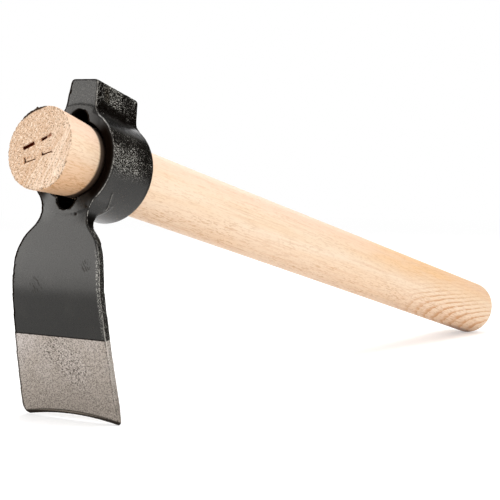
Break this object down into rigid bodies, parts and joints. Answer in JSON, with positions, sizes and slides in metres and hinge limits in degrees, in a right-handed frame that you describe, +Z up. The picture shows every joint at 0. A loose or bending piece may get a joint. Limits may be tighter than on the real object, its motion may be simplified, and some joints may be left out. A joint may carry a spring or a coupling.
{
  "type": "hand hoe",
  "caption": "Hand hoe: a forged head with a square poll, a round eye and a bent, flared blade, on a straight turned handle that pulls out through the front of the eye.",
  "frame": {"origin": "middle of the bounding box's bottom, on the floor that the blade's two corners and the butt stand on", "axes": "+Z up; +Y from the head to the butt, the handle leaning down towards it; +X across the blade"},
  "size_m": [0.0598, 0.4496, 0.1635],
  "materials": {
    "black_lacquered_steel": "semi-gloss black lacquer over a forged skin; the last third of the blade is bare blasted steel",
    "beech": "fine sanded pale beech, clear and dull, bare sawn end grain at the head"
  },
  "bodies": {
    "head": {"head": "black_lacquered_steel"},
    "handle": {"handle": "beech"}
  },
  "joints": [
    {"name": "handle_slide", "type": "slide", "parent": "head", "child": "handle", "axis": [0, -0.9673, 0.2536], "range_m": [0, 0.44]}
  ]
}
